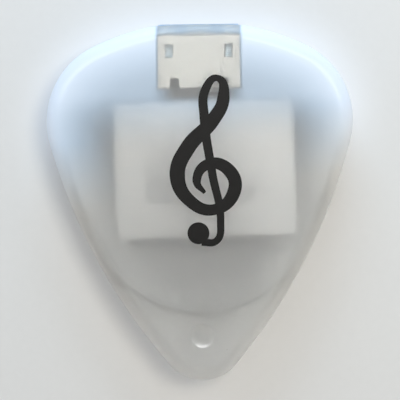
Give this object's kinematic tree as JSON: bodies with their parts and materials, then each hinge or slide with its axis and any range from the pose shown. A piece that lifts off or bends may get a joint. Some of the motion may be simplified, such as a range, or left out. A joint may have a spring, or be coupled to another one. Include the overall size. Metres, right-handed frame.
{
  "type": "guitar pick holder",
  "caption": "Flip-open, guitar-pick-shaped case of two milky plastic shells on a pinned hinge, with a snap tip, a foam insert inside and a pad for sticking it to a guitar.",
  "frame": {"origin": "under the middle of the case, on the plane that the release liner rests on", "axes": "+Z out of the front face, +Y towards the hinge at the broad end, +X to the right as seen from the front"},
  "size_m": [0.0426, 0.0498, 0.0098],
  "materials": {
    "milky_plastic": "milky translucent, satin gloss",
    "white_plastic": "moulded, satin",
    "pin_steel": "bright drawn wire",
    "insert_foam": "white closed-cell foam, matt",
    "pad_foam": "grey closed-cell foam tape, matt",
    "liner_paper": "coated release paper"
  },
  "bodies": {
    "base": {"rear_shell": "milky_plastic", "rear_hinge_leaf": "white_plastic", "hinge_pin": "pin_steel", "pocket_foam": "insert_foam", "foam_pad": "pad_foam", "release_liner": "liner_paper"},
    "lid": {"front_shell": "milky_plastic", "front_hinge_leaf": "white_plastic"}
  },
  "joints": [
    {"name": "lid_hinge", "type": "hinge", "parent": "base", "child": "lid", "pos_m": [0, 0.0243, 0.00515], "axis": [-1, 0, 0], "range_deg": [0, 180]}
  ]
}
